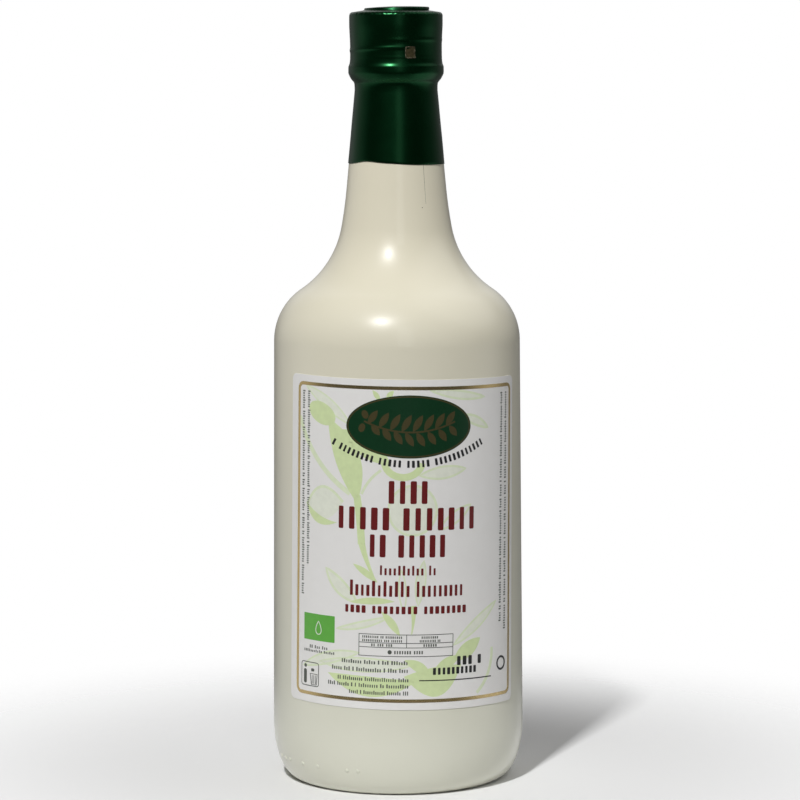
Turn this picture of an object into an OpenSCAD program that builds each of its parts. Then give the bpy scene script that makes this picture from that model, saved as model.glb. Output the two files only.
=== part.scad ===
// Tall round oil bottle with a sleeve capsule shrunk over its screw closure,
// a paper label wrapped round the front of the body, and a small seal tab.
// Millimetres. Origin: centre of the base. +Z up, and the label faces -Y.

/* [Body] */
// Outside diameter of the body just above the heel
body_d = 85; // [76:0.5:104]
// How much narrower the body is where the shoulder starts
body_taper = 2; // [0:0.1:5]
// Height above the base at which the shoulder starts
shoulder_z = 148.4; // [120:0.1:180]
// How far the rounded heel draws in to the standing face
heel_in = 7.8; // [5:0.1:10]
// Height of the rounded heel
heel_h = 18.7; // [8:0.1:26]
// Depth of the push-up under the base
push_up = 2.5; // [1:0.1:6]
// Width of the flat standing ring round the push-up
standing_w = 5; // [3:0.5:10]

/* [Shoulder and neck] */
// Radius of the convex arc of the shoulder
shoulder_r = 20.9; // [17:0.1:26]
// Radius of the hollow arc between shoulder and neck
throat_r = 32.3; // [26:0.1:40]
// Radius of the long arc that eases the throat into the neck
ease_r = 156; // [120:1:190]
// Half-angle of the neck where that long arc starts
ease_angle = 10.3; // [8:0.1:13]
// Half-angle of the straight neck cone
neck_taper = 5.35; // [2:0.05:7]
// Length of the straight neck cone
neck_l = 32.3; // [26.5:0.1:50]
// Outside diameter of the neck just under the closure
neck_top_d = 27.4; // [22.8:0.1:29]
// How much narrower the neck finish inside the closure is than the neck's top
finish_step = 2.4; // [1:0.1:5]

/* [Capsule] */
// Outside diameter of the capsule's plain top band
cap_d = 31.3; // [30:0.1:38]
// Outside diameter of the threaded part under that band
thread_d = 30.76; // [29.5:0.02:37]
// Outside diameter of the bulge at the foot of the closure
bulge_d = 32; // [31.2:0.1:40]
// Height of the closure, from the top of the neck to the capsule's top
closure_h = 27.5; // [24:0.1:36]
// Height of the widest part of the bulge above the top of the neck
bulge_z = 6.7; // [6:0.1:7.5]
// Height of the plain top band
top_band_h = 8; // [5:0.1:9.5]
// How far the ridge of a thread turn stands out
ridge_h = 0.15; // [0.05:0.05:0.3]
// Spacing of the thread turns
thread_pitch = 3.3; // [2:0.1:3.4]
// Diameter of the raised disc on top
disc_d = 21.8; // [15:0.1:23]
// Height of the raised disc
disc_h = 0.9; // [0.2:0.05:1.2]
// Height of the slope between the top band and the disc
slope_h = 0.4; // [0.2:0.1:2.4]
// Wall of the shrunk skirt
capsule_wall = 0.2; // [0.15:0.05:0.6]
// Length of the skirt below the closure
skirt_l = 24.4; // [15:0.1:26]
// Clearance between the capsule and the glass
capsule_gap = 0.02; // [0.02:0.01:0.1]

/* [Seal tab] */
// Width of the tab
tab_w = 3.6; // [2:0.1:6]
// Height of the tab
tab_h = 4; // [2:0.1:4.5]
// Height of the tab's middle above the top of the neck
tab_z = 12.6; // [11.5:0.1:14]
// Angle of the tab round the neck, from the front to the right
tab_angle = 17.8; // [-45:0.1:45]
// How far the tab stands out of the capsule
tab_proud = 0.25; // [0.1:0.05:0.6]
// Depth of the tab's seat in the capsule
tab_seat = 0.3; // [0.2:0.05:0.6]
// Clearance round the tab in its seat
tab_gap = 0.05; // [0.02:0.01:0.2]

/* [Label] */
// Width of the label along the curve
label_w = 88.8; // [60:0.1:120]
// Height of the label
label_h = 109; // [60:0.1:112]
// Height of the label's middle above the base
label_z = 84.3; // [78:0.1:86]
// How far the label's middle lies to the right of the front, along the curve
label_shift = 3.05; // [-10:0.05:10]
// Clockwise tilt of the label on the body
label_skew = 1.06; // [-3:0.01:3]
// Corner radius of the label
label_corner = 2; // [0.5:0.1:8]
// Thickness of the paper
label_t = 0.2; // [0.1:0.05:0.4]
// Thickness of the glue film under the paper
glue_t = 0.1; // [0.04:0.01:0.2]

/* [Hidden] */
$fn = 96;
arc_step = 4;        // degrees between the points of an arc
heel_step = 6;       // degrees between the points of the heel's ellipse
finish_cover = 5;    // thickness of the closure over the neck finish
lower_bulge_r = 5.2; // radius of the bulge below its widest part
upper_bulge_r = 7.5; // radius of the bulge above its widest part
lower_fillet = 1.5;  // hollow fillet between skirt and bulge
upper_fillet = 1.2;  // hollow fillet between bulge and threaded part
band_corner = 1.3;   // rounded outer corner of the top band
corner_sweep = 70;   // degrees that this corner turns before the slope
band_step = 1.2;     // height of the slope from the threaded part to the top band
first_ridge = 13.5;  // height of the lowest thread ridge above the top of the neck
ridge_half = 1.1;    // half the height of one ridge
thread_turns = 2;    // ridges that show below the top band
tab_reach = 2;       // how far the tab's cutting block reaches out of the capsule
label_over = 5;      // spare height of the paper's tube before it is cut to its outline

// ---- radii and heights worked out from the sizes above ----
body_r = body_d / 2;
body_top_r = body_r - body_taper / 2;
neck_top_r = neck_top_d / 2;
neck_foot_r = neck_top_r + neck_l * tan(neck_taper);
// The shoulder sweeps until the arcs after it land on the foot of the neck cone.
shoulder_sweep = acos((neck_foot_r - body_top_r + shoulder_r + throat_r * cos(ease_angle)
    + ease_r * (cos(neck_taper) - cos(ease_angle))) / (shoulder_r + throat_r));
throat_z = shoulder_z + shoulder_r * sin(shoulder_sweep);
ease_z = throat_z + throat_r * (sin(shoulder_sweep) - sin(ease_angle));
neck_foot_z = ease_z + ease_r * (sin(ease_angle) - sin(neck_taper));
neck_top_z = neck_foot_z + neck_l;
total_h = neck_top_z + closure_h;
skin = capsule_gap + capsule_wall;
thread_r = thread_d / 2;
finish_r = neck_top_r - finish_step / 2;
finish_h = closure_h - finish_cover;

// Points of an arc about [cx, cz], from angle a0 to angle a1.
function arc(cx, cz, r, a0, a1) =
    let (n = max(2, ceil(abs(a1 - a0) / arc_step)))
    [for (i = [0:n]) let (a = a0 + (a1 - a0) * i / n) [cx + r * cos(a), cz + r * sin(a)]];

// Radius of the slightly tapered body wall at height z.
function wall_r(z) = body_r + (body_top_r - body_r) * (z - heel_h) / (shoulder_z - heel_h);

// Quarter ellipse of the heel, from the standing face to the wall.
function heel() = [for (a = [0:heel_step:90]) [body_r - heel_in * (1 - sin(a)), heel_h * (1 - cos(a))]];

// Shallow dome of the push-up, from the axis to the standing ring.
function dome() =
    let (rim = body_r - heel_in - standing_w, r = (rim * rim + push_up * push_up) / (2 * push_up))
    arc(0, push_up - r, r, 90, acos(rim / r));

// Shoulder, throat and long ease into the neck, from the body to the neck cone.
function shoulder_line() =
    let (x1 = body_top_r - shoulder_r,
         x2 = x1 + (shoulder_r + throat_r) * cos(shoulder_sweep),
         z2 = throat_z + throat_r * sin(shoulder_sweep),
         x3 = x2 + (ease_r - throat_r) * cos(ease_angle),
         z3 = z2 + (ease_r - throat_r) * sin(ease_angle))
    concat(arc(x1, shoulder_z, shoulder_r, 0, shoulder_sweep),
           arc(x2, z2, throat_r, 180 + shoulder_sweep, 180 + ease_angle),
           arc(x3, z3, ease_r, 180 + ease_angle, 180 + neck_taper));

// Glass bottle, shut and full, with its neck finish inside the closure.
module bottle() {
    color("cornsilk")
    rotate_extrude()
    polygon(concat(
        dome(),
        heel(),
        shoulder_line(),
        [[neck_top_r, neck_top_z],
         [finish_r, neck_top_z],
         [finish_r, neck_top_z + finish_h],
         [0, neck_top_z + finish_h]]));
}

// One raised turn of thread: a smooth bump on the threaded wall.
function ridge(z) =
    [for (a = [-180:45:180]) [thread_r + ridge_h * (1 + cos(a)) / 2, z + ridge_half * a / 180]];

// Bulge with the hollow fillets that join it to the skirt and to the threaded wall.
function bulge_line() =
    let (zb = neck_top_z + bulge_z,
         x_low = bulge_d / 2 - lower_bulge_r,
         x_up = bulge_d / 2 - upper_bulge_r,
         wall = neck_top_r + skin,
         dx_low = wall + lower_fillet - x_low,
         dz_low = sqrt(pow(lower_bulge_r + lower_fillet, 2) - dx_low * dx_low),
         a_low = atan2(dz_low, dx_low),
         dx_up = thread_r + upper_fillet - x_up,
         dz_up = sqrt(pow(upper_bulge_r + upper_fillet, 2) - dx_up * dx_up),
         a_up = atan2(dz_up, dx_up))
    concat(arc(wall + lower_fillet, zb - dz_low, lower_fillet, 180, 180 - a_low),
           arc(x_low, zb, lower_bulge_r, -a_low, 0),
           arc(x_up, zb, upper_bulge_r, 0, a_up),
           arc(thread_r + upper_fillet, zb + dz_up, upper_fillet, 180 + a_up, 180));

// Outside of the capsule, from the hem of its skirt to the middle of its top.
function capsule_line() =
    let (hem_z = neck_top_z - skirt_l,
         band_z = total_h - top_band_h,
         band_r = cap_d / 2,
         slope_z = total_h - disc_h - slope_h,
         corner_z = slope_z - band_corner)
    concat([[neck_top_r + skin + skirt_l * tan(neck_taper), hem_z],
            [neck_top_r + skin, neck_top_z]],
           bulge_line(),
           [for (i = [0:thread_turns - 1]) each ridge(neck_top_z + first_ridge + i * thread_pitch)],
           [[thread_r, band_z - band_step], [band_r, band_z]],
           arc(band_r - band_corner, corner_z, band_corner, 0, corner_sweep),
           [[disc_d / 2, total_h - disc_h],
            [disc_d / 2, total_h - disc_h / 2],
            [disc_d / 2 - disc_h / 2, total_h],
            [0, total_h]]);

// Seat of the tab, or the tab itself: a block across the capsule's wall.
module tab_block(grow, reach) {
    rotate([0, 0, tab_angle])
    translate([-tab_w / 2 - grow, -thread_r - reach, neck_top_z + tab_z - tab_h / 2 - grow])
    cube([tab_w + 2 * grow, reach + thread_r / 2, tab_h + 2 * grow]);
}

// Ring round the neck axis that holds the depth of the tab's seat.
module tab_ring(inner, outer) {
    translate([0, 0, neck_top_z + tab_z - tab_h])
    difference() {
        cylinder(r = outer, h = 2 * tab_h);
        translate([0, 0, -1])
        cylinder(r = inner, h = 2 * tab_h + 2);
    }
}

// Capsule: a sleeve shrunk over the closure and down the neck, filled by the closure.
module capsule() {
    color("darkgreen")
    difference() {
        rotate_extrude()
        polygon(concat(
            capsule_line(),
            [[0, neck_top_z + finish_h + capsule_gap],
             [finish_r + capsule_gap, neck_top_z + finish_h + capsule_gap],
             [finish_r + capsule_gap, neck_top_z + capsule_gap],
             [neck_top_r + capsule_gap, neck_top_z + capsule_gap],
             [neck_top_r + capsule_gap + skirt_l * tan(neck_taper), neck_top_z - skirt_l]]));
        intersection() {
            tab_block(tab_gap, tab_reach);
            tab_ring(thread_r - tab_seat, thread_r + tab_reach);
        }
    }
}

// Small square tab seated in the capsule.
module seal_tab() {
    color("saddlebrown")
    intersection() {
        tab_block(0, tab_reach);
        tab_ring(thread_r - tab_seat + tab_gap, thread_r + tab_proud);
    }
}

// Sector of the label's outline, as a thick block standing across the body wall.
module label_sector(width, height) {
    angle = width / wall_r(label_z) * 180 / PI;
    rotate([0, 0, -90 - angle / 2])
    rotate_extrude(angle = angle)
    translate([body_r / 2, -height / 2])
    square([body_r, height]);
}

// Rod that points out through one rounded corner of the label.
module label_corner_rod(side, end) {
    angle = side * (label_w / 2 - label_corner) / wall_r(label_z) * 180 / PI;
    rotate([0, 0, angle])
    translate([0, -body_r / 2, end * (label_h / 2 - label_corner)])
    rotate([90, 0, 0])
    cylinder(r = label_corner, h = body_r);
}

// Rounded outline of the label, turned and tilted to where it is glued.
module label_outline() {
    rotate([0, 0, label_shift / wall_r(label_z) * 180 / PI])
    translate([0, 0, label_z])
    rotate([0, label_skew, 0]) {
        label_sector(label_w, label_h - 2 * label_corner);
        label_sector(label_w - 2 * label_corner, label_h);
        for (side = [-1, 1], end = [-1, 1])
            label_corner_rod(side, end);
    }
}

// Paper label glued round the front of the body.
module label() {
    low_z = label_z - label_h / 2 - label_over;
    high_z = label_z + label_h / 2 + label_over;
    color("whitesmoke")
    intersection() {
        rotate_extrude()
        polygon([[wall_r(low_z) + glue_t, low_z],
                 [wall_r(low_z) + glue_t + label_t, low_z],
                 [wall_r(high_z) + glue_t + label_t, high_z],
                 [wall_r(high_z) + glue_t, high_z]]);
        label_outline();
    }
}

bottle();
capsule();
label();
seal_tab();
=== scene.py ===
"""An ivory lacquered oil bottle with a green shrink capsule, a small seal tab and a printed paper label.

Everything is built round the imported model. Shapes are drawn in millimetres and turned to metres at the end.
Azimuth 0 is the front, where the label faces, and it grows to the right.
"""
import math
import random

import bmesh
import bpy
from mathutils import Matrix, Vector


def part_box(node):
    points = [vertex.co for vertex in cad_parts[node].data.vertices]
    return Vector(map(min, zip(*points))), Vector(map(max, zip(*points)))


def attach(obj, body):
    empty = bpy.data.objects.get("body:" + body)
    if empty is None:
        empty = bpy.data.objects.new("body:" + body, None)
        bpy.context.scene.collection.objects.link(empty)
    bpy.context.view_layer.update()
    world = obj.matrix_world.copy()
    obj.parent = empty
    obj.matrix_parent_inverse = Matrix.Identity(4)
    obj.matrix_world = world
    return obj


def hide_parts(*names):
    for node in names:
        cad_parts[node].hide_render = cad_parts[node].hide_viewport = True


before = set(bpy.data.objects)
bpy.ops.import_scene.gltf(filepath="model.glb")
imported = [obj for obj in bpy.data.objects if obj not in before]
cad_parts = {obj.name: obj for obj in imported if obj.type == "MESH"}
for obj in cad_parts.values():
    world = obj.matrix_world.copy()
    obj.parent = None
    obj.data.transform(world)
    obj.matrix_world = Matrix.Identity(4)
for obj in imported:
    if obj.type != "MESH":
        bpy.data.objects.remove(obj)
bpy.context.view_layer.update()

MM = 0.001

# ---- sizes, read from the frame or repeated from the part's source, in millimetres ----
bottle_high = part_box("bottle")[1] / MM
capsule_low, capsule_high = (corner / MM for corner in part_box("capsule"))
tab_low, tab_high = (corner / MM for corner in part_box("seal_tab"))

BODY_R = round(bottle_high.x, 1)
BODY_TOP_R = BODY_R - 1.0
SHOULDER_Z = 148.4
HEEL_IN, HEEL_H = 7.8, 18.7
PUSH_UP, STANDING_W = 2.5, 5.0
SHOULDER_R, THROAT_R, EASE_R = 20.9, 32.3, 156.0
EASE_ANGLE, NECK_TAPER = 10.3, 5.35
NECK_L, NECK_TOP_R = 32.3, 13.7
FINISH_R, FINISH_COVER = 12.5, 5.0
CLOSURE_H = 27.5
TOTAL_H = capsule_high.z
NECK_TOP_Z = TOTAL_H - CLOSURE_H
HEM_Z = capsule_low.z
SLEEVE_GAP, SKIN = 0.02, 0.22

LABEL_W, LABEL_H, LABEL_CORNER = 88.8, 109.0, 2.0
LABEL_Z, LABEL_SHIFT, LABEL_SKEW = 84.3, 3.05, math.radians(1.06)
PAPER_SUNK, PAPER_TOP = 0.02, 0.16
INK_SUNK, INK_LAYER = 0.01, 0.012
SHEET_CUT = 1.2
TINY = 1e-6


# ---- small helpers ----
def smooth_step(low, high, x):
    """0 below low, 1 above high, and an even curve between them."""
    t = min(1.0, max(0.0, (x - low) / (high - low)))
    return t * t * (3 - 2 * t)


def bell(x, middle, width):
    """A bump of height 1 at middle that fades out over width on each side."""
    return math.exp(-(((x - middle) / width) ** 2))


def wrap_angle(a):
    """An angle in degrees brought into -180 to 180."""
    return (a + 180) % 360 - 180


def around(a, r, z):
    """The point at azimuth a, in radians, and at radius r and height z."""
    return r * math.sin(a), -r * math.cos(a), z


def arc(cx, cz, r, a0, a1, step=1.5):
    """Points of an arc about (cx, cz) from angle a0 to a1, in degrees."""
    n = max(2, math.ceil(abs(a1 - a0) / step))
    angles = [math.radians(a0 + (a1 - a0) * i / n) for i in range(n + 1)]
    return [(cx + r * math.cos(a), cz + r * math.sin(a)) for a in angles]


def line(p, q, step):
    """Points from p to q, both ends left in, no further apart than step."""
    n = max(1, math.ceil(math.dist(p, q) / step))
    return [(p[0] + (q[0] - p[0]) * i / n, p[1] + (q[1] - p[1]) * i / n) for i in range(n + 1)]


def join_points(*runs):
    """Runs of points end to end, without the repeats where they meet."""
    out = []
    for run in runs:
        for p in run:
            if not out or math.dist(p, out[-1]) > TINY:
                out.append(p)
    return out


def to_object(bm, name, materials, sharp=35.0):
    """Makes a riding object of a bmesh in millimetres, smooth apart from edges over the sharp angle."""
    limit = math.radians(sharp)
    for face in bm.faces:
        face.smooth = True
    for edge in bm.edges:
        edge.smooth = len(edge.link_faces) == 2 and edge.calc_face_angle(0.0) < limit
    bmesh.ops.scale(bm, vec=(MM, MM, MM), verts=bm.verts)
    mesh = bpy.data.meshes.new(name)
    bm.to_mesh(mesh)
    bm.free()
    for material in materials:
        mesh.materials.append(material)
    piece = bpy.data.objects.new(name, mesh)
    bpy.context.scene.collection.objects.link(piece)
    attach(piece, "root")
    return piece


def lathe(profile, segments, shape=lambda a, r, z: (r, z)):
    """Turns a closed profile of (radius, height) about the axis. shape may move each point."""
    bm = bmesh.new()
    rings = []
    for r, z in profile:
        if r < TINY:
            rings.append([bm.verts.new((0, 0, shape(0, 0, z)[1]))])
            continue
        ring = []
        for i in range(segments):
            a = 360.0 * i / segments
            ring.append(bm.verts.new(around(math.radians(a), *shape(a, r, z))))
        rings.append(ring)
    for low, high in zip(rings, rings[1:] + rings[:1]):
        if len(low) == 1 and len(high) == 1:
            continue
        for i in range(segments):
            j = (i + 1) % segments
            corners = [low[i % len(low)], low[j % len(low)], high[j % len(high)], high[i % len(high)]]
            bm.faces.new(list(dict.fromkeys(corners)))
    bmesh.ops.recalc_face_normals(bm, faces=bm.faces)
    return bm


# ---- materials ----
def new_material(name, color, roughness, **sockets):
    """A Principled material with constant sockets, and the shader node to add detail to."""
    material = bpy.data.materials.new(name)
    material.use_nodes = True
    shader = material.node_tree.nodes["Principled BSDF"]
    shader.inputs["Base Color"].default_value = (*color, 1)
    shader.inputs["Roughness"].default_value = roughness
    for socket, value in sockets.items():
        shader.inputs[socket.replace("_", " ")].default_value = value
    return material, shader


def noise(material, scale, detail, stretch=(1, 1, 1)):
    """Noise on object coordinates, with the scale in features to the metre."""
    nodes, links = material.node_tree.nodes, material.node_tree.links
    place = nodes.new("ShaderNodeTexCoord")
    mapping = nodes.new("ShaderNodeMapping")
    mapping.inputs["Scale"].default_value = stretch
    texture = nodes.new("ShaderNodeTexNoise")
    texture.inputs["Scale"].default_value = scale
    texture.inputs["Detail"].default_value = detail
    links.new(place.outputs["Object"], mapping.inputs["Vector"])
    links.new(mapping.outputs["Vector"], texture.inputs["Vector"])
    return texture.outputs["Fac"]


def tint(material, shader, factor, dark, light, low=0.3, high=0.7):
    """Base colour that runs from dark to light as factor goes from low to high."""
    ramp = material.node_tree.nodes.new("ShaderNodeValToRGB")
    ramp.color_ramp.elements[0].position = low
    ramp.color_ramp.elements[0].color = (*dark, 1)
    ramp.color_ramp.elements[1].position = high
    ramp.color_ramp.elements[1].color = (*light, 1)
    material.node_tree.links.new(factor, ramp.inputs["Fac"])
    material.node_tree.links.new(ramp.outputs["Color"], shader.inputs["Base Color"])


def roughen(material, shader, factor, low, high):
    """Roughness that runs from low to high with factor."""
    spread = material.node_tree.nodes.new("ShaderNodeMapRange")
    spread.inputs["To Min"].default_value = low
    spread.inputs["To Max"].default_value = high
    material.node_tree.links.new(factor, spread.inputs["Value"])
    material.node_tree.links.new(spread.outputs["Result"], shader.inputs["Roughness"])


def emboss(material, shader, factor, depth, strength):
    """Bump of that depth, in metres."""
    bump = material.node_tree.nodes.new("ShaderNodeBump")
    bump.inputs["Distance"].default_value = depth
    bump.inputs["Strength"].default_value = strength
    material.node_tree.links.new(factor, bump.inputs["Height"])
    material.node_tree.links.new(bump.outputs["Normal"], shader.inputs["Normal"])


def height_drift(material, low, high, spread, factor):
    """Runs from 0 at height low to 1 at height high, in metres, and wanders with the factor."""
    nodes, links = material.node_tree.nodes, material.node_tree.links
    place = nodes.new("ShaderNodeTexCoord")
    split = nodes.new("ShaderNodeSeparateXYZ")
    rise = nodes.new("ShaderNodeMapRange")
    rise.inputs["From Min"].default_value = low
    rise.inputs["From Max"].default_value = high
    wander = nodes.new("ShaderNodeMath")
    wander.operation = "MULTIPLY_ADD"
    wander.inputs[1].default_value = spread
    links.new(place.outputs["Object"], split.inputs["Vector"])
    links.new(split.outputs["Z"], rise.inputs["Value"])
    links.new(factor, wander.inputs[0])
    links.new(rise.outputs["Result"], wander.inputs[2])
    return wander.outputs["Value"]


def lacquer_material():
    """Opaque ivory lacquer on glass: warmer towards the neck, a faint orange peel and a clear gloss."""
    material, shader = new_material("ivory_lacquer", (0.76, 0.72, 0.58), 0.32, Specular_IOR_Level=0.3,
                                    Coat_Weight=0.6, Coat_Roughness=0.05, Coat_IOR=1.5)
    drift = height_drift(material, 0.0, 0.2, 0.16, noise(material, 14, 2))
    tint(material, shader, drift, (0.715, 0.713, 0.603), (0.768, 0.722, 0.572), 0.2, 1.1)
    roughen(material, shader, noise(material, 90, 4), 0.28, 0.36)
    emboss(material, shader, noise(material, 420, 2), 0.00002, 0.35)
    return material


def capsule_material():
    """Dark green metallic sleeve: fine metallic flecks in a green lacquer, with a faint gloss over it."""
    material, shader = new_material("green_capsule", (0.0025, 0.043, 0.012), 0.34,
                                    Metallic=0.9, Coat_Weight=0.06, Coat_Roughness=0.2, Coat_IOR=1.45)
    flecks = noise(material, 60, 4, (1, 1, 0.35))
    tint(material, shader, flecks, (0.0022, 0.039, 0.0105), (0.0032, 0.047, 0.0145))
    roughen(material, shader, noise(material, 240, 5), 0.26, 0.34)
    emboss(material, shader, noise(material, 900, 3), 0.00001, 0.5)
    return material


def tab_material():
    """Brown varnished foil of the seal tab."""
    material, shader = new_material("tab_brown", (0.045, 0.037, 0.014), 0.4, Metallic=0.3, Coat_Weight=0.3)
    tint(material, shader, noise(material, 1500, 4), (0.028, 0.024, 0.009), (0.07, 0.056, 0.024))
    emboss(material, shader, noise(material, 2500, 3), 0.00003, 0.6)
    return material


def tab_rim_highlight_material():
    """Paler edge of the seal tab: a painted highlight, the brown foil made lighter where the raised rim
    catches the light.
    """
    material, shader = new_material("tab_rim_painted_highlight", (0.17, 0.155, 0.1), 0.35, Metallic=0.5)
    tint(material, shader, noise(material, 1800, 4), (0.06, 0.052, 0.03), (0.26, 0.235, 0.165), 0.4, 0.64)
    return material


def paper_material():
    """Smooth coated label paper with a faint fibre."""
    material, shader = new_material("label_paper", (0.82, 0.81, 0.79), 0.42, Specular_IOR_Level=0.4)
    tint(material, shader, noise(material, 260, 5), (0.812, 0.802, 0.782), (0.828, 0.818, 0.8))
    emboss(material, shader, noise(material, 1400, 4, (1, 1, 0.6)), 0.00002, 0.35)
    return material


def foil_material():
    """Hot-stamped gold foil with a faint grain."""
    material, shader = new_material("gold_foil", (0.6, 0.46, 0.22), 0.2, Metallic=0.84)
    tint(material, shader, noise(material, 90, 3), (0.57, 0.43, 0.2), (0.63, 0.49, 0.245))
    roughen(material, shader, noise(material, 300, 3), 0.17, 0.24)
    return material


def ink_material(name, color, roughness=0.38):
    """Printing ink on the paper: one colour with a slight unevenness in how it took."""
    material, shader = new_material(name, color, roughness, Specular_IOR_Level=0.4)
    dark = tuple(c * 0.96 for c in color)
    light = tuple(min(1.0, c * 1.04) for c in color)
    tint(material, shader, noise(material, 500, 4), dark, light)
    return material


LACQUER = lacquer_material()
CAPSULE = capsule_material()
TAB_BROWN = tab_material()
TAB_RIM_HIGHLIGHT = tab_rim_highlight_material()
PAPER = paper_material()
FOIL = foil_material()
INK_GREEN = ink_material("ink_dark_green", (0.006, 0.036, 0.014), 0.3)
INK_BRONZE = ink_material("ink_bronze", (0.06, 0.05, 0.02), 0.35)
INK_RED = ink_material("ink_red", (0.14, 0.013, 0.014))
INK_BLACK = ink_material("ink_black", (0.02, 0.02, 0.022))
INK_GREY = ink_material("ink_grey", (0.09, 0.1, 0.085))
INK_LEAF = ink_material("ink_bright_green", (0.125, 0.42, 0.065))
INK_WHITE = ink_material("ink_white", (0.72, 0.78, 0.66))
INK_PALE = ink_material("ink_pale_green", (0.65, 0.76, 0.42), 0.42)
INK_FAINT = ink_material("ink_faint_green", (0.725, 0.8, 0.57), 0.42)
INK_WASH = ink_material("ink_green_wash", (0.785, 0.812, 0.7), 0.42)


# ---- bottle ----
def wall_radius(z):
    """Radius of the slightly tapered body wall at height z."""
    return BODY_R + (BODY_TOP_R - BODY_R) * (z - HEEL_H) / (SHOULDER_Z - HEEL_H)


def heel_radius(z):
    """Radius of the rounded heel at height z."""
    return BODY_R - HEEL_IN * (1 - math.sqrt(max(0.0, 1 - (1 - z / HEEL_H) ** 2)))


def shoulder_line():
    """Convex shoulder, hollow throat and the long ease into the neck cone, and where it ends."""
    foot_r = NECK_TOP_R + NECK_L * math.tan(math.radians(NECK_TAPER))
    ease, taper = math.radians(EASE_ANGLE), math.radians(NECK_TAPER)
    inward = foot_r - BODY_TOP_R + SHOULDER_R + THROAT_R * math.cos(ease)
    inward += EASE_R * (math.cos(taper) - math.cos(ease))
    sweep = math.acos(inward / (SHOULDER_R + THROAT_R))
    x1 = BODY_TOP_R - SHOULDER_R
    x2 = x1 + (SHOULDER_R + THROAT_R) * math.cos(sweep)
    z2 = SHOULDER_Z + (SHOULDER_R + THROAT_R) * math.sin(sweep)
    x3 = x2 + (EASE_R - THROAT_R) * math.cos(ease)
    z3 = z2 + (EASE_R - THROAT_R) * math.sin(ease)
    turn = math.degrees(sweep)
    return join_points(
        arc(x1, SHOULDER_Z, SHOULDER_R, 0, turn),
        arc(x2, z2, THROAT_R, 180 + turn, 180 + EASE_ANGLE),
        arc(x3, z3, EASE_R, 180 + EASE_ANGLE, 180 + NECK_TAPER, 0.5),
    )


def bottle_profile():
    """Whole outline of the shut bottle, from the middle of the push-up to the top of the finish."""
    rim = BODY_R - HEEL_IN - STANDING_W
    dome_r = (rim * rim + PUSH_UP * PUSH_UP) / (2 * PUSH_UP)
    dome = arc(0, PUSH_UP - dome_r, dome_r, 90, math.degrees(math.acos(rim / dome_r)), 0.4)
    dome[0] = (0, PUSH_UP)
    heel = [(BODY_R - HEEL_IN * (1 - math.sin(math.radians(a))), HEEL_H * (1 - math.cos(math.radians(a))))
            for a in range(0, 91, 3)]
    shoulder = shoulder_line()
    finish_z = TOTAL_H - FINISH_COVER
    return join_points(
        dome, heel,
        line(heel[-1], shoulder[0], 8), shoulder,
        line(shoulder[-1], (NECK_TOP_R, NECK_TOP_Z), 6),
        [(FINISH_R, NECK_TOP_Z), (FINISH_R, finish_z), (0, finish_z)],
    )


def make_bottle():
    """Lacquered glass bottle."""
    piece = to_object(lathe(bottle_profile(), 256), "bottle_glass", [LACQUER], 30)
    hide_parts("bottle")


def make_heel_dots():
    """Small raised mould dots in a row round the front left of the heel."""
    dot_azimuths = (-72.3, -66.7, -62.1, -50.8, -40.6, -24.3, -19.0)
    dot_r, dot_z, dot_high, sunk = 0.72, 8.6, 0.32, 0.02
    steps, sides, probe = 5, 16, 0.2
    slope = (heel_radius(dot_z + probe) - heel_radius(dot_z - probe)) / (2 * probe)
    turns = [2 * math.pi * i / sides for i in range(sides)]
    bm = bmesh.new()
    for azimuth in dot_azimuths:
        a = math.radians(azimuth)
        out = Vector(around(a, 1, 0))
        normal = (out + Vector((0, 0, -slope))).normalized()
        side = normal.cross(Vector((0, 0, 1))).normalized()
        up = side.cross(normal)
        centre = Vector(around(a, heel_radius(dot_z), dot_z)) - normal * sunk
        rings = [[bm.verts.new(centre + normal * dot_high)]]
        for k in range(1, steps + 1):
            fall = math.radians(90 * k / steps)
            middle = centre + normal * dot_high * math.cos(fall)
            reach = dot_r * math.sin(fall)
            ring = [middle + reach * (math.cos(t) * side + math.sin(t) * up) for t in turns]
            rings.append([bm.verts.new(point) for point in ring])
        for inner, outer in zip(rings, rings[1:]):
            for i in range(sides):
                j = (i + 1) % sides
                corners = [inner[i % len(inner)], inner[j % len(inner)], outer[j], outer[i]]
                bm.faces.new(list(dict.fromkeys(corners)))
        bm.faces.new(rings[-1])
    bmesh.ops.recalc_face_normals(bm, faces=bm.faces)
    to_object(bm, "heel_dots", [LACQUER], 60)


def outline_radius(z):
    """Radius of the bottle's outline at height z above the heel."""
    outline = shoulder_line() + [(NECK_TOP_R, NECK_TOP_Z)]
    for (r0, z0), (r1, z1) in zip(outline, outline[1:]):
        if z0 <= z <= z1:
            return r0 + (r1 - r0) * (z - z0) / (z1 - z0)
    return BODY_TOP_R


def make_hairline():
    """Hairline in the lacquer, from under the capsule's hem down the neck."""
    top_azimuth, end_azimuth = math.radians(34.0), math.radians(34.5)
    top_z, end_z = HEM_Z + 1.0, 195.0
    steps, half_w, high, deep = 24, 0.055, 0.05, 0.05
    bm = bmesh.new()
    rings = []
    for k in range(steps + 1):
        t = k / steps
        z = top_z + (end_z - top_z) * t
        a = top_azimuth + (end_azimuth - top_azimuth) * t
        r = outline_radius(z)
        crest = high * (1 - 0.8 * t)
        section = ((-half_w, -deep), (-half_w / 2, crest), (half_w / 2, crest), (half_w, -deep))
        rings.append([bm.verts.new(around(a + across / r, r + out, z)) for across, out in section])
    for upper, lower in zip(rings, rings[1:]):
        for i in range(4):
            j = (i + 1) % 4
            bm.faces.new([upper[i], upper[j], lower[j], lower[i]])
    bm.faces.new(rings[0])
    bm.faces.new(rings[-1])
    bmesh.ops.recalc_face_normals(bm, faces=bm.faces)
    to_object(bm, "neck_hairline", [INK_GREY], 40)


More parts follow.
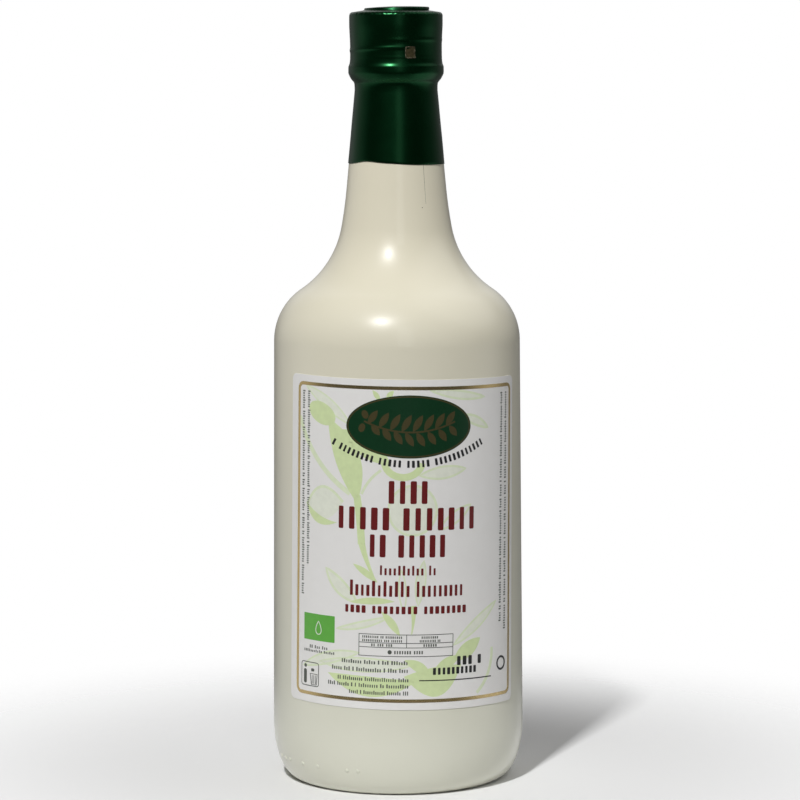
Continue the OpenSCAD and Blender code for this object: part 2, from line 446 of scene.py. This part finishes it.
def make_speck():
    """One flat dark speck beside the hairline's end."""
    azimuth, z, speck_r, wide, flat = math.radians(29.5), 193.7, 0.16, 1.2, 0.45
    middle = Vector(around(azimuth, outline_radius(z), z))
    bm = bmesh.new()
    bmesh.ops.create_icosphere(bm, subdivisions=2, radius=speck_r)
    for vert in bm.verts:
        vert.co.x *= wide
        vert.co.y *= flat
        vert.co.rotate(Matrix.Rotation(azimuth, 3, "Z"))
        vert.co += middle
    to_object(bm, "neck_speck", [INK_BRONZE], 60)


# ---- capsule ----
THREAD_R, BAND_R, BULGE_R = 15.38, 15.65, 16.0
DISC_R, DISC_FOOT_Z, DISC_RIM_Z, DISC_DOME = 10.9, TOTAL_H - 0.9, TOTAL_H - 0.12, 0.42
CORNER_R, CORNER_Z, CORNER_TURN = 1.3, TOTAL_H - 2.72, 62
LEFT_TURN_H, RIGHT_TURN_H, LOWER_TURN_H = 13.25, 16.75, 11.0
SEAM_AZIMUTH = 17.7
CREASE_AZIMUTH, CREASE_H = 29, 1.2
PLEATS = ((41, 0, 1.0), (67, 40, 0.8), (23, 100, 0.5))


def smooth_through(points, step):
    """A smooth line through a few points, no further apart than step (Catmull-Rom)."""
    out = []
    for i in range(len(points) - 1):
        p = [points[min(max(i + k, 0), len(points) - 1)] for k in (-1, 0, 1, 2)]
        n = max(2, math.ceil(math.dist(p[1], p[2]) / step))
        for k in range(n):
            t = k / n
            out.append(tuple(0.5 * (2 * b + (c - a) * t + (2 * a - 5 * b + 4 * c - d) * t * t
                                    + (3 * b - a - 3 * c + d) * t ** 3) for a, b, c, d in zip(*p)))
    return out + [points[-1]]


def capsule_profile():
    """Outline of the capsule: up the outside from the hem to the disc, then down the inside."""
    wall = NECK_TOP_R + SKIN
    skirt = math.tan(math.radians(NECK_TAPER))
    hem_r = wall + (NECK_TOP_Z - HEM_Z) * skirt
    closure = [(wall, 1.0), (wall + 0.05, 2.0), (wall + 0.3, 2.75), (BULGE_R - 0.88, 3.9),
               (BULGE_R - 0.2, 5.2), (BULGE_R - 0.01, 5.95), (BULGE_R, 7.4), (BULGE_R - 0.07, 8.05),
               (THREAD_R + 0.21, 9.0), (THREAD_R + 0.06, 10.1), (THREAD_R, 11.5), (THREAD_R, 15.6),
               (THREAD_R + 0.13, 18.6), (BAND_R, 21.6), (BAND_R, CORNER_Z - NECK_TOP_Z)]
    slope_top = (14.9, CORNER_Z + 1.21)
    slope_foot = (DISC_R + 0.25, DISC_FOOT_Z - 0.02)
    disc_side = [(DISC_R + 0.1, DISC_FOOT_Z + 0.05), (DISC_R, DISC_FOOT_Z + 0.2),
                 (DISC_R - 0.02, DISC_RIM_Z - 0.25), (DISC_R - 0.1, DISC_RIM_Z - 0.08),
                 (DISC_R - 0.3, DISC_RIM_Z)]
    outside = join_points(
        [(hem_r - 0.16, HEM_Z), (hem_r - 0.03, HEM_Z + 0.03)],
        line((hem_r, HEM_Z + 0.12), (wall, NECK_TOP_Z), 0.8),
        smooth_through([(r, NECK_TOP_Z + h) for r, h in closure], 0.2),
        arc(BAND_R - CORNER_R, CORNER_Z, CORNER_R, 0, CORNER_TURN, 5),
        line(slope_top, slope_foot, 0.35),
        disc_side,
        line((DISC_R - 0.5, DISC_RIM_Z + 0.01), (0, DISC_RIM_Z + 0.01), 0.8),
    )
    roof_z = TOTAL_H - FINISH_COVER + SLEEVE_GAP
    step_z = NECK_TOP_Z + SLEEVE_GAP
    inside = [(0, roof_z), (FINISH_R + SLEEVE_GAP, roof_z),
              (FINISH_R + SLEEVE_GAP, step_z), (NECK_TOP_R + SLEEVE_GAP, step_z)]
    inner_hem = (NECK_TOP_R + 0.03 + (NECK_TOP_Z - HEM_Z) * skirt, HEM_Z)
    return outside + inside + line(inside[-1], inner_hem, 6)[1:]


def hem_rise(a):
    """How far the wavy hem stands above its lowest level at azimuth a."""
    front = 1.0 * bell(a, -37, 20) + 0.35 * bell(a, -5, 18) - 0.15 * math.sin(math.radians(a))
    back = 0.35 * bell(wrap_angle(a - 150), 0, 30) + 0.25 * bell(wrap_angle(a + 130), 0, 25)
    return front + back - 0.1


def thread_relief(a, z):
    """Pressed thread: a turn that rises along the left, one along the right, and a faint one below."""
    left = 1 - smooth_step(10, 30, a) + smooth_step(135, 178, a)
    right = smooth_step(-20, 2, a) * (1 - smooth_step(135, 178, a))
    left_z = NECK_TOP_Z + LEFT_TURN_H + smooth_step(-95, 15, a) * (1 - smooth_step(100, 170, a))
    relief = 0.19 * left * bell(z, left_z, 0.55)
    relief += 0.09 * right * bell(z, NECK_TOP_Z + RIGHT_TURN_H, 0.6)
    return relief + 0.05 * bell(a, -4, 40) * bell(z, NECK_TOP_Z + LOWER_TURN_H, 0.45)


def capsule_shape(a, r, z):
    """Unevenness of the shrunk sleeve: hem, thread turns, pleats, seam, creases and a tilted disc."""
    a = wrap_angle(a)
    slope = max(0.0, NECK_TOP_Z - z) * math.tan(math.radians(NECK_TAPER))
    if z > DISC_FOOT_Z + 0.1:
        x = r * math.sin(math.radians(a))
        lift = 0.15 + 0.2 * x / DISC_R + DISC_DOME * (1 - min(1.0, r / DISC_R) ** 2)
        return r + 0.3 * x / DISC_R, z + lift * smooth_step(DISC_FOOT_Z, DISC_RIM_Z - 0.1, z)
    lift = hem_rise(a) * (1 - smooth_step(0, 9, z - HEM_Z))
    if r < NECK_TOP_R + 0.1 + slope:
        return r, z + lift
    dr = thread_relief(a, z)
    pleat = sum(share * math.sin(math.radians(turns * a + phase)) for turns, phase, share in PLEATS)
    dr += 0.03 * pleat * bell(z, TOTAL_H - 1.9, 0.7)
    past_seam = wrap_angle(a - SEAM_AZIMUTH)
    flap = smooth_step(-0.5, 0.5, past_seam) * (1 - smooth_step(4, 60, past_seam))
    dr -= 0.06 * flap * smooth_step(NECK_TOP_Z + 4, NECK_TOP_Z + 8, z)
    height = z - NECK_TOP_Z
    dr += 0.025 * bell(height, 3.3 + 0.3 * math.sin(math.radians(2 * a)), 0.3)
    dr += 0.02 * bell(height, 1.9 + 0.3 * math.sin(math.radians(2 * a + 90)), 0.35)
    crease_x, crease_y = (a - CREASE_AZIMUTH) / 9, (height - CREASE_H) / 2.4
    along, across = crease_x + crease_y, crease_x - crease_y
    dr -= 0.08 * math.exp(-((along / 0.35) ** 2) - (across / 1.4) ** 2)
    dr += 0.02 * math.sin(math.radians(3 * a + 50)) * math.sin(height * 0.45)
    return r + dr, z + lift


def make_capsule():
    """Green sleeve shrunk over the closure and down the neck."""
    piece = to_object(lathe(capsule_profile(), 420, capsule_shape), "capsule_sleeve", [CAPSULE], 50)
    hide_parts("capsule")


def make_tab():
    """Small square foil tab with a raised rim painted pale as a highlight, and one corner pushed out."""
    middle = (tab_low + tab_high) / 2
    azimuth = math.atan2(middle.x, -middle.y)
    half_w, half_h, n = 1.72, 1.98, 14
    rim_w, face_r, back_r = 0.36, THREAD_R + 0.05, THREAD_R - 0.24
    bm = bmesh.new()
    grid = {}
    for i in range(n + 1):
        for j in range(n + 1):
            u, v = 2 * i / n - 1, 2 * j / n - 1
            round_off = 1 - 0.06 * (u * u) * (v * v)
            x, y = u * half_w * round_off, v * half_h * round_off
            x += 0.3 * smooth_step(0.5, 1, u) * smooth_step(0.4, 1, -v)
            edge = min(half_w * (1 - abs(u)), half_h * (1 - abs(v)))
            rise = 0.16 * bell(edge, 0.16, 0.2) + 0.03 * math.sin(5 * u + 2) * math.sin(4 * v)
            rise += 0.12 * smooth_step(0.3, 1, -u) * smooth_step(0.3, 1, v)
            grid[i, j] = (x, y, rise, edge)
    layers = []
    for base, relief in ((face_r, 1.0), (back_r, 0.0)):
        verts = {}
        for key, (x, y, rise, _) in grid.items():
            verts[key] = bm.verts.new(around(azimuth + x / THREAD_R, base + relief * rise, middle.z + y))
        layers.append(verts)
    for layer in layers:
        for i in range(n):
            for j in range(n):
                face = bm.faces.new([layer[i, j], layer[i + 1, j], layer[i + 1, j + 1], layer[i, j + 1]])
                corners = [grid[i + di, j + dj][3] for di in (0, 1) for dj in (0, 1)]
                # faces near the edge take the pale rim colour, a painted highlight
                face.material_index = 1 if sum(corners) / 4 < rim_w else 0
    border = ([(i, 0) for i in range(n)] + [(n, j) for j in range(n)]
              + [(i, n) for i in range(n, 0, -1)] + [(0, j) for j in range(n, 0, -1)])
    for here, there in zip(border, border[1:] + border[:1]):
        face = bm.faces.new([layers[0][here], layers[0][there], layers[1][there], layers[1][here]])
        # the tab's sides take the same pale painted highlight
        face.material_index = 1
    bmesh.ops.recalc_face_normals(bm, faces=bm.faces)
    piece = to_object(bm, "seal_tab_foil", [TAB_BROWN, TAB_RIM_HIGHLIGHT], 50)
    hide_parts("seal_tab")


# ---- label ----
def on_wall(s, t, rise):
    """A label point, s along its width and t up its height from its middle, lifted off the body by rise."""
    u = LABEL_SHIFT + s * math.cos(LABEL_SKEW) + t * math.sin(LABEL_SKEW)
    z = LABEL_Z - s * math.sin(LABEL_SKEW) + t * math.cos(LABEL_SKEW)
    r = wall_radius(z)
    return around(u / r, r + rise, z)


def rounded_box(x0, x1, y0, y1, corner, steps=6):
    """Corner points of a box with rounded corners, counter-clockwise."""
    corner = min(corner, (x1 - x0) / 2, (y1 - y0) / 2)
    centres = ((x1 - corner, y1 - corner, 0), (x0 + corner, y1 - corner, 90),
               (x0 + corner, y0 + corner, 180), (x1 - corner, y0 + corner, 270))
    return [(cx + corner * math.cos(math.radians(start + 90 * k / steps)),
             cy + corner * math.sin(math.radians(start + 90 * k / steps)))
            for cx, cy, start in centres for k in range(steps + 1)]


def flat_sheet(outlines, low, high):
    """A bmesh of flat shapes from height low to high, cut into columns so that it can be bent."""
    bm = bmesh.new()
    for outline in outlines:
        bm.faces.new([bm.verts.new((x, y, low)) for x, y in outline])
    bmesh.ops.triangulate(bm, faces=[f for f in bm.faces if len(f.verts) > 4])
    left = min(v.co.x for v in bm.verts)
    right = max(v.co.x for v in bm.verts)
    for k in range(1, math.ceil((right - left) / SHEET_CUT)):
        geom = bm.verts[:] + bm.edges[:] + bm.faces[:]
        place = (left + k * SHEET_CUT, 0, 0)
        bmesh.ops.bisect_plane(bm, geom=geom, dist=1e-5, plane_co=place, plane_no=(1, 0, 0))
    raised = bmesh.ops.extrude_face_region(bm, geom=bm.faces[:], use_keep_orig=True)
    for element in raised["geom"]:
        if isinstance(element, bmesh.types.BMVert):
            element.co.z = high
    return bm


def bend(bm):
    """Lays a flat sheet on the body wall."""
    for vert in bm.verts:
        vert.co = on_wall(vert.co.x, vert.co.y, vert.co.z)
    bmesh.ops.recalc_face_normals(bm, faces=bm.faces)


def make_paper():
    """Label paper, glued flat round the front of the body."""
    outline = rounded_box(-LABEL_W / 2, LABEL_W / 2, -LABEL_H / 2, LABEL_H / 2, LABEL_CORNER, 8)
    bm = flat_sheet([outline], -PAPER_SUNK, PAPER_TOP)
    bend(bm)
    piece = to_object(bm, "label_paper", [PAPER], 40)
    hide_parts("label")


# ---- print: flat shapes in millimetres from the middle of the gold frame ----
FRAME_X, FRAME_Y = 0.8, 0.1
FRAME_HALF_W, FRAME_HALF_H = 41.3, 51.6


def make_ink(name, outlines, material, layer):
    """One thin printed piece of many shapes. A higher layer lies over a lower one."""
    moved = [[(x + FRAME_X, y + FRAME_Y) for x, y in outline] for outline in outlines]
    bm = flat_sheet(moved, PAPER_TOP - INK_SUNK, PAPER_TOP + INK_LAYER * layer)
    bend(bm)
    to_object(bm, name, [material], 40)


def stroke(points, width, closed=False, taper=False):
    """Quads that follow a line of points at that width. A tapered one thins to nothing at its far end."""
    n = len(points)
    sides = []
    for i, (x, y) in enumerate(points):
        before = points[(i - 1) % n] if closed or i else points[i]
        after = points[(i + 1) % n] if closed or i < n - 1 else points[i]
        dx, dy = after[0] - before[0], after[1] - before[1]
        length = math.hypot(dx, dy)
        half = width / 2 * (1 - 0.85 * i / (n - 1) if taper else 1)
        nx, ny = -dy / length * half, dx / length * half
        sides.append(((x + nx, y + ny), (x - nx, y - ny)))
    pairs = zip(sides, sides[1:] + sides[:1]) if closed else zip(sides, sides[1:])
    return [[a[1], b[1], b[0], a[0]] for a, b in pairs]


def ellipse(cx, cy, rx, ry, turn=0.0, n=32):
    """Outline of an ellipse turned by that many degrees."""
    c, s = math.cos(math.radians(turn)), math.sin(math.radians(turn))
    out = []
    for k in range(n):
        x, y = rx * math.cos(2 * math.pi * k / n), ry * math.sin(2 * math.pi * k / n)
        out.append((cx + x * c - y * s, cy + x * s + y * c))
    return out


def curve(p, q, bow, n=14):
    """Points from p to q, bowed to the left of the way by that distance at the middle."""
    dx, dy = q[0] - p[0], q[1] - p[1]
    length = math.hypot(dx, dy)
    out = []
    for k in range(n + 1):
        t = k / n
        off = 4 * bow * t * (1 - t)
        out.append((p[0] + dx * t - dy / length * off, p[1] + dy * t + dx / length * off))
    return out


def leaf(p, q, left, right, n=14):
    """Outline of a pointed leaf from p to q, with its bulge to the left and to the right of the way."""
    return curve(p, q, left, n)[:-1] + curve(q, p, right, n)[:-1]


def print_row(x0, x1, y0, y1, words, fill=0.55, place=lambda x, y: (x, y), low=1.0):
    """A line of print as plain upright bars. words gives how many bars stand together in each group.

    Where low is under 1, most bars reach only that share of the line's height.
    """
    gap, tall_share = 0.75, 0.22
    pitch = (x1 - x0) / (sum(words) + gap * (len(words) - 1))
    rng = random.Random(round(100 * (x0 + y0)))
    bars, x = [], x0
    for count in words:
        for k in range(count):
            half = pitch * fill * rng.uniform(0.85, 1.15) / 2
            tall = k == 0 or rng.random() < tall_share
            middle = x + pitch / 2
            top = y1 if tall else y0 + low * (y1 - y0)
            corners = rounded_box(middle - half, middle + half, y0, top, half * 0.4, 2)
            bars.append([place(px, py) for px, py in corners])
            x += pitch
        x += gap * pitch
    return bars


def upright(x_mid, turn):
    """Turns a row drawn along x into one that runs down (turn -1) or up (turn 1) at x_mid."""
    return lambda x, y: (x_mid - turn * y, turn * x)


def print_frame():
    """Gold foil frame."""
    path = rounded_box(-FRAME_HALF_W, FRAME_HALF_W, -FRAME_HALF_H, FRAME_HALF_H, 1.9, 5)
    make_ink("print_gold_frame", stroke(path, 1.15, closed=True), FOIL, 2)


OUTLINED_LEAVES = (  # from, to, bulge to the left and to the right, width of the outline
    ((-38, 51), (-20, 39), 2.6, 1.0, 0.5),
    ((6, 51), (27, 48.3), 1.0, 1.6, 0.7),
    ((17, 42.5), (28.6, 38), 1.8, 0.9, 0.8),
    ((3, 23), (19.3, 25), 1.9, 2.0, 0.7),
    ((-28.6, -8.8), (-17, -19.5), 1.6, 2.6, 0.8),
    ((-24.5, -28.6), (-6, -23.6), 0.5, 1.6, 0.6),
    ((15.5, -33.5), (33.6, -20), 1.6, 1.6, 0.6),
    ((-38.4, -42.6), (-16, -36), 2.6, 1.2, 0.6),
    ((-31, -40.2), (1, -40), 2.4, 2.2, 0.5),
    ((3.2, -20), (5.0, -5), 1.8, 1.4, 0.5),
)
UNWASHED_LEAVES = (
    ((10, 5), (21.5, 13), 1.8, 1.6, 0.7),
    ((-1.5, -22), (-2.5, -8), 1.2, 1.2, 0.5),
)


def print_branches():
    """Pale olive twigs in the background: washed leaves, then faint outlines, then the solid shapes."""
    fruit = ellipse(1.0, 11.5, 8.0, 8.2)
    washed = [leaf(p, q, left, right) for p, q, left, right, _ in OUTLINED_LEAVES]
    washed += [leaf((-37, 11.5), (-22.5, 13.5), 5.6, 5.0), fruit]
    faint = []
    for p, q, left, right, width in OUTLINED_LEAVES + UNWASHED_LEAVES:
        faint += stroke(leaf(p, q, left, right), width, closed=True)
    faint += stroke(curve((-37, 11.5), (-22.5, 13.5), 5.6), 0.9)
    faint += stroke(curve((-41, 40.5), (-20, 16.5), -2.6), 1.7)
    faint += stroke(curve((-16, 16.5), (-9.6, 24.6), 0.8), 0.9)
    faint += stroke(fruit, 0.8, closed=True)
    faint += stroke(curve((31.6, -35.4), (25, -50), 2.0), 1.2)
    solid = [
        ellipse(-31.0, 42.3, 5.7, 3.5, -24),
        leaf((-28.4, 41), (-17.5, 13.5), 6.4, 2.4),
        leaf((-23, 37.5), (-6.5, 26.5), 3.6, 3.2),
        leaf((-12.8, 50.8), (-10.2, 47.2), 0.9, 0.7),
        leaf((-5.8, 50.8), (-8.2, 47.8), 0.7, 1.0),
        leaf((-37.4, 12.5), (-24.6, 6.6), -1.2, 3.9),
        leaf((-18.6, -6.6), (-10.2, -12.4), 1.3, 0.9),
        leaf((-19.5, -19.3), (-4.5, -18.6), 1.5, 0.8),
        leaf((-8.8, -22), (-2.6, -30), 1.6, 1.0),
        leaf((15.6, -38.6), (26.2, -31.6), 2.4, 2.6),
        leaf((-27.5, -43.6), (3, -45), 0.5, 6.2),
        leaf((-1.2, -43.5), (18.6, -40), 1.2, 8.6),
        leaf((-1, -38), (8, -43.5), 2.2, 1.2),
        leaf((9.6, -40.4), (17.8, -37), 1.4, 2.0),
    ]
    solid += stroke(curve((-17.6, 16), (-15.8, 0), 0.2), 2.5)
    solid += stroke(curve((-15.8, 0.6), (-10.6, -12.4), -0.5), 2.3, taper=True)
    solid += stroke(curve((1.6, -20), (1.2, -29.4), 0.3), 2.0, taper=True)
    solid += stroke([(-2.4 + 6.2 * math.sin(a), 27.6 - 5.2 * math.cos(a))
                     for a in (math.radians(-84 + 12 * k) for k in range(15))], 2.3)
    make_ink("print_washed_leaves", washed, INK_WASH, 0.7)
    make_ink("print_pale_twigs", faint, INK_FAINT, 1.2)
    make_ink("print_pale_olives", solid, INK_PALE, 1.7)


def print_medallion():
    """Dark green oval with a bronze rim and a plain twig of leaves and two olives."""
    cx, cy, rx, ry = -0.3, 39.0, 21.3, 10.35
    inset, rim_w, stem_w, pairs = 0.5, 0.42, 0.6, 8
    make_ink("print_oval", [ellipse(cx, cy, rx, ry, n=72)], INK_GREEN, 2.8)
    rim = stroke(ellipse(cx, cy, rx - inset, ry - inset, n=72), rim_w, closed=True)
    make_ink("print_oval_rim", rim, INK_BRONZE, 3.8)
    twig = stroke(curve((-15.5, 40.6), (15.0, 40.6), -3.4, 24), stem_w)
    for k in range(pairs):
        x = -13.6 + 3.7 * k
        y = 37.3 + 3.3 * ((x - cx) / 15.3) ** 2
        long = 5.6 - 0.09 * (k - (pairs - 1) / 2) ** 2
        twig.append(leaf((x - 0.6, y), (x + 2.6, y + long), 1.15, 1.15, 8))
        twig.append(leaf((x + 0.6, y - 0.2), (x + 3.4, y - long + 0.8), 1.15, 1.15, 8))
    twig += [ellipse(-16.2, 38.4, 1.1, 1.5, -20, 18), ellipse(-15.2, 42.8, 1.1, 1.5, 25, 18)]
    make_ink("print_oval_twig", twig, INK_BRONZE, 3.8)


def print_lines():
    """Rows of plain bars in three colours, one of them on an arc, and four that run up or down."""
    red = print_row(-7.9, 6.6, 13.7, 21.2, [4], 0.5)
    red += print_row(-25.0, 23.8, 4.9, 12.3, [5, 7], 0.5)
    red += print_row(-13.9, 12.9, -4.0, 3.4, [2, 5], 0.5)
    red += print_row(-9.9, 9.3, -9.9, -6.7, [10, 2], 0.5, low=0.72)
    red += print_row(-20.0, 19.1, -17.0, -11.9, [11, 9], 0.5, low=0.72)
    red += print_row(-21.6, 20.4, -22.7, -20.2, [4, 8, 8], 0.6)
    make_ink("print_red_rows", red, INK_RED, 3)

    arc_r, arc_y = 53.7, 79.7

    def on_arc(x, y):
        a = x / arc_r
        return -0.5 + (arc_r - y) * math.sin(a), arc_y - (arc_r - y) * math.cos(a)

    black = print_row(-27.8, 28.2, -0.4, 1.9, [1, 8, 5, 5, 12], 0.5, on_arc)
    black += print_row(16.6, 27.0, -40.2, -37.2, [3, 1], 0.6)
    black += print_row(8.2, 24.8, -43.0, -40.7, [10], 0.6)
    black += stroke([(3.9, -44.8), (31.4, -45.1)], 0.35)
    make_ink("print_black_rows", black, INK_BLACK, 3)

    grey = []
    for x0, x1, y0, y1, words in (
            (-22.4, 0.2, -39.6, -38.3, [9, 5, 1, 3, 7]), (-26.0, 0.3, -42.2, -40.8, [5, 3, 1, 11, 1, 4, 4]),
            (-23.8, 0.5, -45.3, -44.0, [2, 10, 15, 5]), (-27.5, 0.5, -47.4, -46.1, [4, 6, 1, 1, 9, 2, 10]),
            (-19.6, 0.5, -49.7, -48.4, [5, 1, 11, 7, 3]),
            (-35.5, -27.6, -36.3, -35.2, [2, 3, 3]), (-38.0, -24.9, -37.6, -36.7, [11, 6])):
        grey += print_row(x0, x1, y0, y1, words, 0.55, low=0.75)
    for x_mid, y_top, y_end, words in (
            (-38.9, 49.4, -18.8, [8, 6, 5, 13, 2, 3, 10, 1, 5, 2, 11, 7, 5]),
            (-36.5, 49.4, -8.4, [8, 11, 2, 6, 2, 12, 3, 11, 8, 1, 9])):
        grey += print_row(-y_top, -y_end, -0.55, 0.55, words, 0.55, upright(x_mid, -1), 0.75)
    for x_mid, y_top, y_end, words in (
            (35.7, 49.4, -27.4, [4, 2, 9, 9, 8, 10, 4, 5, 1, 8, 9, 11, 5]),
            (38.4, 49.4, -30.2, [10, 2, 7, 1, 5, 7, 1, 5, 3, 6, 4, 1, 5, 8, 9, 11])):
        grey += print_row(y_end, y_top, -0.55, 0.55, words, 0.55, upright(x_mid, 1), 0.75)
    make_ink("print_grey_rows", grey, INK_GREY, 2.5)


def print_marks():
    """Green block with a plain drop, ruled table, box with a bin and a pill, and ring."""
    make_ink("print_green_block", [rounded_box(-38.0, -25.0, -33.6, -24.7, 0.2, 2)], INK_LEAF, 2.5)
    drop = [(-31.5 - 1.5 * math.sin(a) * math.sin(a / 2), -29.2 + 2.2 * math.cos(a))
            for a in (2 * math.pi * k / 28 for k in range(28))]
    make_ink("print_drop", stroke(drop, 0.3, closed=True), INK_WHITE, 3.5)

    ruled = []
    table_top, table_foot, rule_w = -29.6, -36.8, 0.22
    for y in (table_top, -32.4, -33.9, table_foot):
        ruled += stroke([(-16.3, y), (15.5, y)], rule_w)
    for x, y_end in ((-16.2, table_foot), (15.4, table_foot), (-0.4, -33.9)):
        ruled += stroke([(x, table_top), (x, y_end)], rule_w)
    for x0, x1, y0, y1, words in (
            (-15.2, -1.8, -30.9, -30.1, [9, 2, 9]), (-15.2, -1.8, -32.1, -31.3, [11, 3, 6]),
            (4.4, 10.2, -30.9, -30.1, [9]), (3.8, 11.0, -32.1, -31.3, [10, 2]),
            (-12.2, -5.0, -33.6, -32.7, [2, 3, 3]), (5.0, 9.8, -33.6, -32.7, [6]),
            (-4.6, 5.2, -36.0, -34.9, [7, 4])):
        ruled += print_row(x0, x1, y0, y1, words, 0.55)
    ruled.append(ellipse(-5.9, -35.4, 0.7, 0.7, n=16))

    box = rounded_box(-39.1, -31.3, -49.1, -41.2, 0.8, 3)
    ruled += stroke(box, 0.28, closed=True)
    ruled += stroke([(-35.0, -45.0), (-34.4, -48.6), (-32.3, -48.6), (-31.9, -45.0)], 0.35, closed=True)
    for x in (-34.1, -33.4, -32.7):
        ruled += stroke([(x, -45.4), (x + 0.05, -48.3)], 0.25)
    ruled += [rounded_box(-38.0, -36.6, -48.4, -43.6, 0.6, 4), ellipse(-37.2, -42.5, 0.62, 0.62, n=16),
              rounded_box(-34.6, -33.2, -44.2, -43.2, 0.3, 2)]
    make_ink("print_rules", ruled, INK_GREY, 2.5)
    ring = stroke(ellipse(36.6, -41.3, 2.1, 2.1, n=40), 0.7, closed=True)
    make_ink("print_ring", ring, INK_BLACK, 2.5)


# ---- stage, light and camera, in metres ----
FLOOR_R, FADE_START, FADE_END = 0.26, 0.07, 0.24
LIGHTS_AIM = Vector((0, 0, 0.14))
# Patches of light round the bottle: the azimuth and elevation of the middle, the angles from it where the
# fade starts and ends, in degrees, and the strength. In order: wide and low behind, high behind, high right,
# left, right, low left, low right.
LIGHT_PATCHES = (
    (180, -60, 84, 92, 0.17),
    (180, 38, 20, 45, 0.6),
    (102, 50, 15, 40, 0.9),
    (-115, 5, 15, 40, 0.3),
    (115, 5, 15, 40, 0.06),
    (-90, -35, 15, 40, 0.6),
    (90, -35, 15, 40, 0.95),
)


def make_floor():
    """Round pale floor that thins out to nothing, so that it has no far edge."""
    material, shader = new_material("floor_pale", (0.86, 0.86, 0.86), 0.7)
    nodes, links = material.node_tree.nodes, material.node_tree.links
    place = nodes.new("ShaderNodeTexCoord")
    reach = nodes.new("ShaderNodeVectorMath")
    reach.operation = "LENGTH"
    fade = nodes.new("ShaderNodeMapRange")
    fade.interpolation_type = "SMOOTHSTEP"
    fade.inputs["From Min"].default_value = FADE_START
    fade.inputs["From Max"].default_value = FADE_END
    clear = nodes.new("ShaderNodeBsdfTransparent")
    mix = nodes.new("ShaderNodeMixShader")
    links.new(place.outputs["Object"], reach.inputs[0])
    links.new(reach.outputs["Value"], fade.inputs["Value"])
    links.new(fade.outputs["Result"], mix.inputs["Fac"])
    links.new(shader.outputs["BSDF"], mix.inputs[1])
    links.new(clear.outputs["BSDF"], mix.inputs[2])
    links.new(mix.outputs["Shader"], nodes["Material Output"].inputs["Surface"])
    bpy.ops.mesh.primitive_circle_add(vertices=96, radius=FLOOR_R, fill_type="NGON", location=(0, 0, 0))
    floor = bpy.context.object
    floor.name = "floor"
    floor.data.materials.append(material)


def direction(azimuth, elevation):
    """Unit vector towards that azimuth and elevation, in degrees."""
    a, e = math.radians(azimuth), math.radians(elevation)
    return Vector((math.cos(e) * math.sin(a), -math.cos(e) * math.cos(a), math.sin(e)))


def make_area(name, azimuth, elevation, distance, width, height, power):
    """Area light that faces the bottle's upper body from that direction."""
    way = direction(azimuth, elevation)
    data = bpy.data.lights.new(name, "AREA")
    data.shape = "RECTANGLE"
    data.size, data.size_y = width, height
    data.energy = power
    lamp = bpy.data.objects.new(name, data)
    lamp.location = LIGHTS_AIM + way * distance
    lamp.rotation_euler = way.to_track_quat("Z", "Y").to_euler()
    bpy.context.scene.collection.objects.link(lamp)


def make_world():
    """Surroundings: white to the camera, and round patches of light on black for everything else."""
    world = bpy.data.worlds.new("soft_room")
    bpy.context.scene.world = world
    world.use_nodes = True
    nodes, links = world.node_tree.nodes, world.node_tree.links
    nodes.clear()
    place = nodes.new("ShaderNodeTexCoord")
    total = None
    for azimuth, elevation, inner, outer, strength in LIGHT_PATCHES:
        toward = nodes.new("ShaderNodeVectorMath")
        toward.operation = "DOT_PRODUCT"
        toward.inputs[1].default_value = direction(azimuth, elevation)
        patch = nodes.new("ShaderNodeMapRange")
        patch.interpolation_type = "SMOOTHSTEP"
        patch.inputs["From Min"].default_value = math.cos(math.radians(outer))
        patch.inputs["From Max"].default_value = math.cos(math.radians(inner))
        patch.inputs["To Max"].default_value = strength
        links.new(place.outputs["Generated"], toward.inputs[0])
        links.new(toward.outputs["Value"], patch.inputs["Value"])
        if total is None:
            total = patch.outputs["Result"]
            continue
        add = nodes.new("ShaderNodeMath")
        links.new(patch.outputs["Result"], add.inputs[0])
        links.new(total, add.inputs[1])
        total = add.outputs["Value"]
    lit = nodes.new("ShaderNodeBackground")
    links.new(total, lit.inputs["Strength"])
    seen = nodes.new("ShaderNodeBackground")
    seen.inputs["Color"].default_value = (1, 1, 1, 1)
    path = nodes.new("ShaderNodeLightPath")
    mix = nodes.new("ShaderNodeMixShader")
    out = nodes.new("ShaderNodeOutputWorld")
    links.new(path.outputs["Is Camera Ray"], mix.inputs["Fac"])
    links.new(lit.outputs["Background"], mix.inputs[1])
    links.new(seen.outputs["Background"], mix.inputs[2])
    links.new(mix.outputs["Shader"], out.inputs["Surface"])


def make_camera():
    """Camera a little above the bottle's middle, looking slightly down from the front."""
    distance, elevation, roll = 1.1054, math.radians(5.885), math.radians(-0.19)
    aim = Vector((0.00096, 0, 0.12796))
    data = bpy.data.cameras.new("camera")
    data.sensor_width = 36
    data.lens = 146.9
    data.clip_start = 0.05
    camera = bpy.data.objects.new("camera", data)
    camera.location = aim + Vector((0, -math.cos(elevation), math.sin(elevation))) * distance
    look = (camera.location - aim).to_track_quat("Z", "Y")
    camera.rotation_euler = look.to_euler()
    camera.rotation_euler.rotate_axis("Z", roll)
    bpy.context.scene.collection.objects.link(camera)
    bpy.context.scene.camera = camera


make_camera()
make_floor()
make_world()
make_area("key", -18, 47, 1.5, 0.095, 0.095, 20.6)
make_area("front_strip", 8, 20, 1.6, 0.4, 1.0, 1.1)
bpy.context.scene.view_settings.view_transform = "Standard"

make_bottle()
make_heel_dots()
make_hairline()
make_speck()
make_capsule()
make_tab()
make_paper()
print_frame()
print_branches()
print_medallion()
print_lines()
print_marks()
